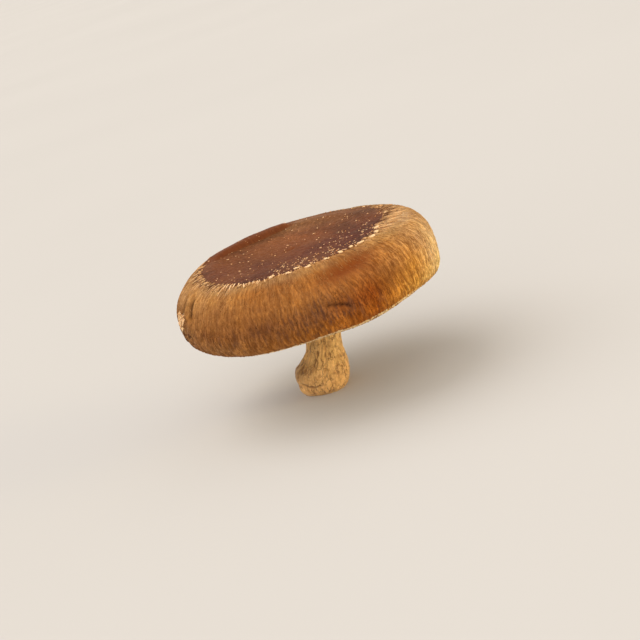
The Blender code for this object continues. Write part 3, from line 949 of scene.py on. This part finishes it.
def lay_strands(name, rows, material, stations=6, extra=None):
    """Tapered strands lying on the cap.

    Each row: bearing, s, length, width, height, heading from straight down
    (radians, + turns towards higher bearings), bend, tip lift, tone.
    """
    th0, s0, length, width, height, head, bend, lift, tone = np.array(rows, float).T
    n = len(th0)
    t = np.linspace(0, 1, stations)[None, :]
    phi = head[:, None] + bend[:, None] * (t - 0.4)
    step = (length / (stations - 1))[:, None]
    run_s = np.concatenate([np.zeros((n, 1)), np.cumsum(np.cos(phi[:, :-1]) * step, 1)], 1)
    run_t = np.concatenate([np.zeros((n, 1)), np.cumsum(np.sin(phi[:, :-1]) * step, 1)], 1)
    r0 = np.hypot(*np.moveaxis(cap_surface(th0, s0)[..., :2], -1, 0))[:, None]
    th, s = th0[:, None] + run_t / r0, s0[:, None] + run_s
    p, nrm, down, side = surface_frame(cap_surface, th.ravel(), s.ravel())
    p = p + nrm * cap_relief(p, th.ravel(), s.ravel())[:, None]
    p, nrm, down, side = (q.reshape(n, stations, 3) for q in (p, nrm, down, side))
    along = np.cos(phi)[..., None] * down + np.sin(phi)[..., None] * side
    across = np.cross(nrm, along)
    w = width[:, None] * np.clip(np.sin(pi * (0.07 + 0.89 * t)), 0, 1) ** 0.8
    up = height[:, None] * w / width[:, None] + lift[:, None] * t ** 2
    top = p + nrm * up[..., None]
    low = p - nrm * 0.10 + nrm * (0.75 * lift[:, None] * t ** 2)[..., None]
    left, right = low + across * (w / 2)[..., None], low - across * (w / 2)[..., None]
    co = np.stack([top, left, right], 2).reshape(-1, 3)            # strand, station, 3
    i = np.arange(n)[:, None] * stations * 3 + np.arange(stations - 1)[None, :] * 3
    quads = []
    for a, b in ((0, 1), (1, 2), (2, 0)):
        quads.append(np.stack([i + a, i + 3 + a, i + 3 + b, i + b], -1).reshape(-1, 4))
    quads = np.concatenate(quads)
    e = np.arange(n) * stations * 3
    f = e + (stations - 1) * 3
    tris = np.concatenate([np.stack([e, e + 1, e + 2], 1), np.stack([f, f + 2, f + 1], 1)])
    # face outwards: check one strand against its own middle
    q = co[quads[0]]
    out = np.cross(q[1] - q[0], q[2] - q[0]) @ (q.mean(0) - co[:stations * 3].mean(0))
    if out < 0:
        quads, tris = quads[:, ::-1], tris[:, ::-1]
    attrs = {"tone": np.repeat(tone, stations * 3)}
    if extra is not None:
        attrs.update(extra(np.repeat(th.ravel(), 3), np.repeat(s.ravel(), 3), attrs["tone"]))
    return add_mesh(name, co, quads, tris, attrs, (AX, AY, 0), material)


def build_shreds():
    """Cream tufts on the front line, long spikes at the two ends, the torn flap."""
    rng = np.random.default_rng(19)
    rows = []

    def add(t, s, ln, wd, ht, head, bend, lift, tone):
        rows.append((t, s, ln, wd, ht, head, bend, lift, tone))

    t = radians(-106)
    while t < radians(-27):                       # little arrow-shaped tufts
        s_tip = float(disc_reach(np.array([t]))[0]) + rng.uniform(0.2, 2.4)
        arm = rng.uniform(1.5, 2.6)
        turned = rng.normal(0.15, 0.30)
        for a in (turned - rng.uniform(0.35, 0.75), turned, turned + rng.uniform(0.35, 0.75)):
            ln = arm * rng.uniform(0.7, 1.2)
            add(t - sin(a) * ln / 40.0, s_tip - cos(a) * ln, ln, rng.uniform(0.85, 1.25),
                rng.uniform(0.30, 0.48), a, rng.normal(0, 0.25), rng.uniform(0.3, 0.8),
                rng.uniform(0.9, 1.0))
        t += radians(rng.uniform(5.6, 10.5))
    for k in range(13):                           # a short comb of them, front left
        t = radians(-137 + 2.3 * k + rng.normal(0, 0.4))
        s_line = float(disc_reach(np.array([t]))[0])
        add(t, s_line + rng.uniform(-1.6, -0.4), rng.uniform(2.6, 4.2), rng.uniform(0.6, 0.9),
            rng.uniform(0.22, 0.34), rng.normal(0.25, 0.12), rng.normal(0, 0.2), rng.uniform(0.1, 0.3),
            rng.uniform(0.75, 1.0))
    for _ in range(170):                          # loose shreds all along the line
        t = rng.uniform(-pi, pi)
        w = float(hump(t, -75, 0.9))
        if rng.random() > 0.12 + 0.8 * w:
            continue
        s_line = float(disc_reach(np.array([t]))[0])
        add(t, s_line + rng.normal(-0.5, 1.0), rng.uniform(1.2, 2.8), rng.uniform(0.35, 0.65),
            rng.uniform(0.12, 0.24), rng.normal(0.1, 0.35), rng.normal(0, 0.5), rng.uniform(0, 0.25),
            rng.uniform(0.10, 0.60))
    for at, spread, count in ((-12, 32, 120), (181, 26, 50), (-146, 20, 44)):
        for _ in range(count):                    # long pale spikes between the dark ones
            t = radians(at + rng.normal(0, spread * 0.5))
            s_line = float(disc_reach(np.array([t]))[0])
            add(t, s_line + rng.uniform(-2.6, 1.2), rng.uniform(2.8, 6.0), rng.uniform(0.38, 0.62),
                rng.uniform(0.14, 0.26), rng.normal(0.10, 0.14), rng.normal(0, 0.25), rng.uniform(0, 0.2),
                rng.uniform(0.22, 0.70))
    for at, spread, count in ((-8, 34, 130), (181, 26, 60), (-150, 22, 50)):
        for _ in range(count):                    # dark ones
            t = radians(at + rng.normal(0, spread * 0.5))
            s_line = float(disc_reach(np.array([t]))[0])
            add(t, s_line + rng.uniform(-2.5, 0.2), rng.uniform(2.6, 5.4), rng.uniform(0.45, 0.75),
                rng.uniform(0.12, 0.22), rng.normal(0.06, 0.12), rng.normal(0, 0.25), rng.uniform(0, 0.1),
                rng.uniform(0.0, 0.08))
    for _ in range(70):                           # the torn flap at the far left
        t = radians(-165.5 + rng.normal(0, 2.0))
        add(t, rng.uniform(54.6, 59.6), rng.uniform(1.6, 3.6), rng.uniform(0.5, 0.9), rng.uniform(0.2, 0.5),
            rng.normal(0.1, 0.35), rng.normal(0, 0.6), rng.uniform(0.0, 0.7), rng.uniform(0.5, 1.0))
    for _ in range(26):                           # dark shreds under it
        t = radians(-163 + rng.normal(0, 4.0))
        add(t, rng.uniform(61.0, 72), rng.uniform(1.6, 3.6), rng.uniform(0.5, 0.8), rng.uniform(0.2, 0.4),
            rng.normal(0.1, 0.3), rng.normal(0, 0.5), rng.uniform(0.0, 0.5), rng.uniform(0.0, 0.25))
    return lay_strands("cuticle_shreds", rows,
                       shred_material("cuticle_shred", (252, 214, 170), (204, 154, 102), (84, 46, 26)))


def build_fibrils():
    """The pale fibrils that lie on the side of the cap."""
    rng = np.random.default_rng(43)
    rows = []
    while len(rows) < 9200:
        t = rng.uniform(-pi, pi)
        s = rng.uniform(37.0, 76.0)
        ring = float(rim(np.array([t]))[0])
        if s < float(disc_reach(np.array([t]))[0]) + 0.4:
            continue
        if rng.random() < float(bare(np.array([t]), np.array([s]))[0]):
            continue
        size = rng.uniform(0.8, 1.25) * (1.0 - 0.25 * float(smooth(s, 62, 76)))
        rows.append((t, s, size * rng.uniform(0.9, 2.1) * ring / RIM_R, rng.uniform(0.18, 0.29),
                     rng.uniform(0.08, 0.15), rng.normal(float(lean(t)), 0.26), rng.normal(0, 0.6),
                     rng.uniform(0.0, 0.16), rng.random()))

    def colours(th, s, tone):
        # the side's colours, with their painted warm light at the right end
        col = anchor(th, s, BAND)
        k = 0.86 + 0.78 * tone ** 1.5 * np.clip(crispness(th, s), 0.3, 1.6)
        out = col * k[:, None] * (1 - 0.35 * front_mottle(th, s))[:, None]
        pale = srgb(214, 172, 118)[None]
        f = (0.30 * tone * (1 - smooth(s, 48, 60)))[:, None]
        return {"col_strand": out * (1 - f) + pale * f}

    return lay_strands("side_fibrils", rows, strand_material(), 4, colours)


# ------------------------------------------------------------ the gills
def build_gills():
    rng = np.random.default_rng(21)
    N1 = 58
    lam = []                                      # bearing, inner radius, depth share
    for i in range(N1):
        t = 2 * pi * i / N1
        lam.append((t, GILL_HOLE_R - 0.35, 1.0))
        lam.append((t + pi / N1, rng.uniform(13.5, 18.0), rng.uniform(0.88, 0.98)))
        lam.append((t + pi / N1 / 2, rng.uniform(24, 31), rng.uniform(0.66, 0.84)))
        lam.append((t + pi / N1 * 3 / 2, rng.uniform(24, 31), rng.uniform(0.66, 0.84)))
    NR, NZ = 40, 5
    co, quads, at_g, at_d = [], [], [], []
    base = 0
    for idx, (t0, r_in, share) in enumerate(lam):
        t0 = t0 + rng.normal(0, 0.0016)
        wall = float(rim(np.array([t0]))[2][0]) - MARGIN_W
        r = r_in + (wall + 0.25 - r_in) * np.linspace(0, 1, NR) ** 0.92
        wander = 0.34 * noise2(r / 5.5, np.full(NR, t0 * 37.0), 91) \
            + 0.13 * noise2(r / 1.9, np.full(NR, t0 * 53.0), 92)
        wander = wander * smooth(r, 9, 18)
        roof = ceiling(r, wall) + 0.10
        inward = np.clip((wall - r) / (wall - GILL_HOLE_R), 0, 1)
        edge = GILL_EDGE_Z + GILL_RISE * inward ** 1.3
        edge = edge + 1.6 * (1 - smooth(r, 8.6, 14.5))
        edge = edge + 1.0 * smooth(r, wall - 4.5, wall)
        edge = roof - (roof - edge) * share
        # short gills run out to nothing at their inner end
        run_in = smooth(r, r_in, r_in + (3.0 if r_in < 10 else 5.0))
        run_in = 0.35 + 0.65 * run_in if r_in < 10 else 0.02 + 0.98 * run_in
        edge = roof - (roof - edge) * run_in
        edge = edge + 0.13 * noise2(r / 0.75, np.full(NR, t0 * 91.0), 93) \
            + 0.16 * noise2(r / 4.0, np.full(NR, t0 * 71.0), 94)
        half = 0.21 * (0.9 + 0.25 * rng.random())
        for side in (-1, 1):
            for j in range(NZ):
                v = j / (NZ - 1)                  # 0 at the root, 1 at the edge
                z = roof + (edge - roof) * v
                thick = half * (1.15 - 0.72 * v ** 1.5) * smooth(r, r_in - 0.8, r_in + 1.2)
                thick = np.maximum(thick, 0.05)
                sway = wander * (0.35 + 0.85 * v) + 0.16 * v * noise2(r / 3.0, np.full(NR, t0 * 13), 95)
                off = sway + side * thick
                a = t0 + off / r
                co.append(np.stack([r * np.cos(a), r * np.sin(a), z], -1))
                at_g.append(np.stack([r, np.full(NR, v * 5.0), np.full(NR, idx * 7.31 + side)], -1))
                at_d.append(np.full(NR, v))
        # faces: both sides, the lower edge, the root and the two ends
        def vid(sd, j, i):
            return base + (sd * NZ + j) * NR + i
        i = np.arange(NR - 1)
        for j in range(NZ - 1):
            quads.append(np.stack([vid(0, j, i), vid(0, j + 1, i), vid(0, j + 1, i + 1), vid(0, j, i + 1)], 1))
            quads.append(np.stack([vid(1, j, i), vid(1, j, i + 1), vid(1, j + 1, i + 1), vid(1, j + 1, i)], 1))
            for e, flip in ((0, False), (NR - 1, True)):
                q = [vid(0, j, e), vid(1, j, e), vid(1, j + 1, e), vid(0, j + 1, e)]
                quads.append(np.array([q[::-1] if flip else q]))
        quads.append(np.stack([vid(0, NZ - 1, i), vid(1, NZ - 1, i), vid(1, NZ - 1, i + 1), vid(0, NZ - 1, i + 1)], 1))
        quads.append(np.stack([vid(0, 0, i), vid(0, 0, i + 1), vid(1, 0, i + 1), vid(1, 0, i)], 1))
        base += 2 * NZ * NR
    co, quads = np.concatenate(co), np.concatenate(quads)
    return add_mesh("gill_lamellae", co, quads, None,
                    {"gill": np.concatenate(at_g), "down": np.concatenate(at_d)},
                    (AX, AY, 0), gill_material())


# ------------------------------------------------------------- the stem
NECK_R, APEX_R, BASE_SWELL, BASE_Z = 7.2, 8.5, 3.1, 6.0
FOOT_ROUND, FOOT_TUCK, LOBE = 3.2, 0.12, 2.0
STEM_TOP = 47.2


def stem_surface(th, z):
    th, z = np.broadcast_arrays(np.asarray(th, float), np.asarray(z, float))
    lean = AX * smooth((z - 2) / 24)
    r = (NECK_R + (APEX_R - NECK_R) * smooth((z - 28) / 11)
         + BASE_SWELL * np.exp(-np.abs((z - BASE_Z) / 8.0) ** 2.8))
    knob = 1 - smooth((z - 30) / 9)
    r = r * (1 + knob * (0.03 * np.cos(2 * th + 1.0) + 0.02 * np.cos(3 * th + 2.0)))
    r = r + LOBE * hump(th, 185, 0.75) * np.exp(-((z - 10.6) / 3.8) ** 2)
    r = r + 0.6 * hump(th, 10, 0.60) * np.exp(-((z - 8.0) / 5.0) ** 2)
    r = r * (1 - FOOT_TUCK * np.clip(1 - z / FOOT_ROUND, 0, 1) ** 1.8)
    return np.stack([lean + r * np.cos(th), r * np.sin(th), z], -1)


def stem_relief(th, z):
    """Height over the plain stem and how pitted and creased it is there; that mask is painted dark as shade."""
    warp = th + 0.10 * around(th, 5, z, 12.0, 101, 2) + 0.03 * around(th, 14, z, 5.0, 102)
    low = 1 - smooth(z, 14, 24)
    fib = 0.20 * around(warp, 26, z, 16.0, 103) + 0.16 * around(warp, 52, z, 9.0, 104) \
        + 0.10 * around(warp, 110, z, 5.0, 105)
    lump = 0.42 * around(th, 12, z, 5.0, 106, 2) * low
    scale = around(warp, 34, z, 2.6, 107, 2)
    scales = 0.20 * smooth(scale, 0.05, 0.45) * (0.35 + 0.65 * low)
    pit = smooth(around(warp, 52, z, 1.6, 108, 2), 0.30, 0.62) * (0.25 + 0.75 * (1 - smooth(z, 20, 30)))
    # the curved crease over the cut and the dark knob on the left; their darkness is painted shade
    y = z - (4.9 + 2.4 * turn(th, -112) ** 2 + 0.5 * around(th, 9, 0, 1, 109)
             + 0.25 * around(th, 40, 0, 1, 113))
    crease = gauss(y, 0.36) * smooth(0.56 - np.abs(turn(th, -125)), 0, 0.22)
    hook = gauss(turn(th, -116) * 8.5 - 0.12 * (z - 15) - 0.35 * np.sin((z - 15) * 1.1), 0.30) \
        * smooth(3.2 - np.abs(z - 15.5), 0, 1.2)
    crease = np.clip(crease + 0.8 * hook, 0, 1)
    rag = smooth(3.4 - z, 0, 3.0) * (0.45 * around(th, 22, z, 3.0, 110, 2) + 0.2 * around(th, 60, z, 2.0, 111))
    out = fib + lump + scales - 0.30 * pit - 0.60 * crease + rag
    up = 1 - smooth(z, 40, 45)
    return out * (0.25 + 0.75 * up), np.clip(0.6 * pit + 1.5 * crease, 0, 1.6)


def build_stem():
    NT = 320
    zs = np.concatenate([np.array([0.0, 0.12, 0.3, 0.55, 0.85]), np.arange(1.2, 16.0, 0.34),
                         np.arange(16.0, 40.0, 0.46), np.arange(40.0, STEM_TOP, 0.9), [STEM_TOP]])
    th1 = np.arange(NT) * 2 * pi / NT
    th = np.tile(th1, len(zs))
    z = np.repeat(zs, NT)
    p = stem_surface(th, z)
    dz = stem_surface(th, z + 0.05) - stem_surface(th, z - 0.05)
    dt = stem_surface(th + 0.002, z) - stem_surface(th - 0.002, z)
    n = np.cross(dt, dz)
    n /= np.linalg.norm(n, axis=-1, keepdims=True)
    n[z < 0.9] *= np.array([1, 1, 0.0])           # the foot's edge moves only sideways
    rel, pit = stem_relief(th, z)
    co = p + n * rel[:, None]
    co[z == 0, 2] = 0.0
    # the cut face: rings that shrink to the middle, pressed up a little inside
    rim_xy = co[:NT, :2].copy()
    cut_rings, cth, counts = [], [], []
    nn, idx = NT, np.arange(NT)
    for f in (0.96, 0.90, 0.83, 0.75, 0.66):
        cut_rings.append(rim_xy * f)
        cth.append(th1)
        counts.append(NT)
    for f, k in ((0.56, 2), (0.46, 2), (0.36, 4), (0.26, 4), (0.16, 8), (0.08, 8)):
        cut_rings.append(rim_xy[::k] * f)
        cth.append(th1[::k])
        counts.append(NT // k)
    cut_xy = np.concatenate(cut_rings)
    cz = 0.16 * smooth(fbm2(cut_xy[:, 0] / 1.3, cut_xy[:, 1] / 1.3, 121, 3), -0.1, 0.6) \
        * smooth(np.hypot(*cut_xy.T), 9.5, 7.5)
    cut = np.column_stack([cut_xy, cz])
    counts_all = counts[::-1] + [NT] * len(zs)
    cut_sorted, start = [], 0
    chunks = []
    for c in counts:
        chunks.append(cut[start:start + c])
        start += c
    cut_co = np.concatenate(chunks[::-1])
    cut_th = np.concatenate(cth[::-1])
    co_all = np.vstack([cut_co, co, [[0, 0, 0.02]], [[AX, 0, STEM_TOP]]])
    n_all = len(co_all)
    quads, tris = rings_to_faces(counts_all, 0, n_all - 2, n_all - 1)
    quads, tris = quads[:, ::-1], tris[:, ::-1]
    nc = len(cut_co)
    th_all = np.concatenate([cut_th, th, [0, 0]])
    z_all = np.concatenate([cut_co[:, 2], z, [0, STEM_TOP]])
    pit_crease_shade_all = np.concatenate([np.zeros(nc), pit, [0, 0]])
    is_cut = np.concatenate([np.ones(nc), 1 - smooth(z, 0.0, 0.7), [1, 0]])
    fib = np.stack([np.cos(th_all) * 9, np.sin(th_all) * 9, z_all], -1)
    # the top of the stem, under the cap, is painted darker: painted shade
    c_low, c_mid, c_top_shaded = srgb(224, 174, 108), srgb(222, 176, 108), srgb(204, 150, 82)
    w1, w2 = smooth(z_all, 3, 18)[:, None], smooth(z_all, 22, 42)[:, None]
    col = c_low * (1 - w1) + c_mid * w1
    col = col * (1 - w2) + c_top_shaded * w2
    # the knob on the left is painted dark: a painted shadow
    knob = (hump(th_all, 185, 0.55) * gauss(z_all - 11.0, 3.6))[:, None]
    knob = np.clip(knob * (0.65 + 0.5 * around(th_all, 30, z_all, 2.0, 112, 2)[:, None]), 0, 1)
    col = col * (1 - 0.88 * knob) + srgb(70, 40, 24) * 0.88 * knob
    return add_mesh("stem_stalk", co_all, quads, tris,
                    {"fib": fib, "pit": pit_crease_shade_all, "cut": is_cut, "col_stem": col}, None,
                    stem_material())


# -------------------------------------------------------------- staging
def build_stage():
    n = 96
    radii = [0.03, 0.08, 0.16, 0.3, 0.6, 1.2, 2.5, 5.0, 10.0, 20.0, 40.0]
    th = np.arange(n) * 2 * pi / n
    co = np.concatenate([np.stack([r * np.cos(th), r * np.sin(th), np.zeros(n)], -1)
                         for r in radii]) / MM
    co = np.vstack([co, [[0, 0, 0]]])
    quads, tris = rings_to_faces([n] * len(radii), 0, len(co) - 1, None)
    ob = add_mesh("studio_floor", co, quads[:, ::-1], tris[:, ::-1], None, None, floor_material())
    return ob


def sun(name, toward, power, colour, spread_deg):
    """A broad soft source far off, shining from that direction."""
    d = bpy.data.lights.new(name, "SUN")
    d.energy, d.color, d.angle = power, colour, radians(spread_deg)
    o = bpy.data.objects.new(name, d)
    o.rotation_mode = "QUATERNION"
    o.rotation_quaternion = Vector(toward).to_track_quat("Z", "Y")
    o.location = Vector(toward) * 2.0
    bpy.context.scene.collection.objects.link(o)
    return o


def light():
    w = bpy.data.worlds.new("studio_air")
    w.use_nodes = True
    bg = w.node_tree.nodes["Background"]
    bg.inputs["Color"].default_value = (*srgb(235, 226, 213), 1)
    bg.inputs["Strength"].default_value = 1.0
    bpy.context.scene.world = w
    sun("window_left_back", (-0.50, 0.22, 0.84), 1.55, (1.0, 0.96, 0.90), 62)
    sun("front_fill", (-0.25, -0.80, 0.55), 0.75, (1.0, 0.95, 0.86), 60)
    sun("warm_right", (0.94, -0.30, 0.08), 2.1, (1.0, 0.84, 0.46), 36)
    bpy.context.scene.view_settings.view_transform = "Standard"
    bpy.context.scene.view_settings.look = "None"


def camera():
    """The view from the front, a little from above, rolled as the mushroom is held."""
    elev, roll, dist = radians(16.2), radians(18.27), 580.0
    off_x, off_y = -0.36, 19.25
    right = Vector((1, 0, 0))
    fwd = Vector((0, cos(elev), -sin(elev)))
    up = Vector((0, sin(elev), cos(elev)))
    pivot = Vector((AX, AY, (lo_cap[2] + hi_cap[2]) / 2 + 0.52))
    at = pivot - fwd * dist - right * off_x - up * off_y
    x = right * cos(roll) - up * sin(roll)
    y = right * sin(roll) + up * cos(roll)
    m = Matrix((x, y, -fwd)).transposed().to_4x4()
    m.translation = at * MM
    c = bpy.data.cameras.new("camera")
    c.sensor_width = 36.0
    c.lens = 36.0 * (dist / 0.4) / 640
    c.clip_start, c.clip_end = 0.01, 20
    o = bpy.data.objects.new("camera", c)
    o.matrix_world = m
    bpy.context.scene.collection.objects.link(o)
    bpy.context.scene.camera = o


camera()
build_stage()
light()

cap = build_cap()
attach(cap, "root")
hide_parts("cap")

for extra in (build_flakes(), build_shreds()):
    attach(extra, "root")
fibrils = build_fibrils()
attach(fibrils, "root")

gills = build_gills()
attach(gills, "root")
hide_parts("gills")

stem = build_stem()
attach(stem, "root")
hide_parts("stem")
